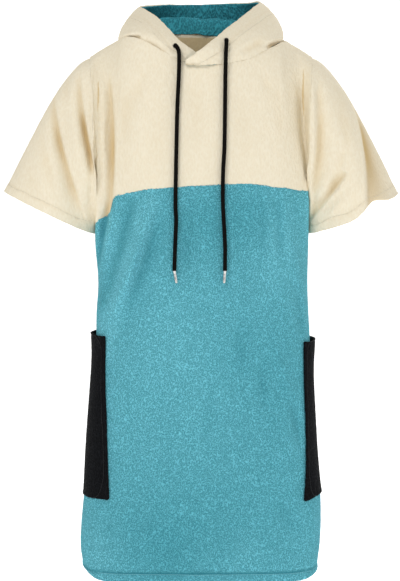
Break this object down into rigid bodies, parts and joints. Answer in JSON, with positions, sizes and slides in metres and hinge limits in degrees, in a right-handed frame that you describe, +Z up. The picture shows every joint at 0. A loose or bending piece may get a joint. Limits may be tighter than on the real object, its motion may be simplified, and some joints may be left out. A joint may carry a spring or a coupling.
{
  "type": "hooded bath poncho",
  "caption": "Knee-length hooded terry bath poncho with short wide sleeves, side pockets and drawcords, filled out as if worn with the hood down.",
  "frame": {"origin": "middle of the neck opening at shoulder height, where the wearer's shoulders carry the garment", "axes": "+Z up, front of the garment towards -Y, the viewer's left at -X"},
  "size_m": [0.784, 0.3131, 1.1462],
  "materials": {
    "cream_terry": "soft terry pile",
    "teal_terry": "looped terry pile",
    "black_terry": "looped terry pile",
    "black_cord": "braided cord",
    "silver_metal": "satin"
  },
  "bodies": {
    "root": {"front_yoke": "cream_terry", "back_yoke": "cream_terry", "front_lower": "teal_terry", "back_lower": "teal_terry", "sleeve_left": "cream_terry", "sleeve_right": "cream_terry", "hood_left": "cream_terry", "hood_right": "cream_terry", "lining_left": "teal_terry", "lining_right": "teal_terry", "pocket_left": "black_terry", "pocket_right": "black_terry", "drawcord_left": "black_cord", "drawcord_right": "black_cord", "aglet_left": "silver_metal", "aglet_right": "silver_metal"}
  },
  "joints": []
}
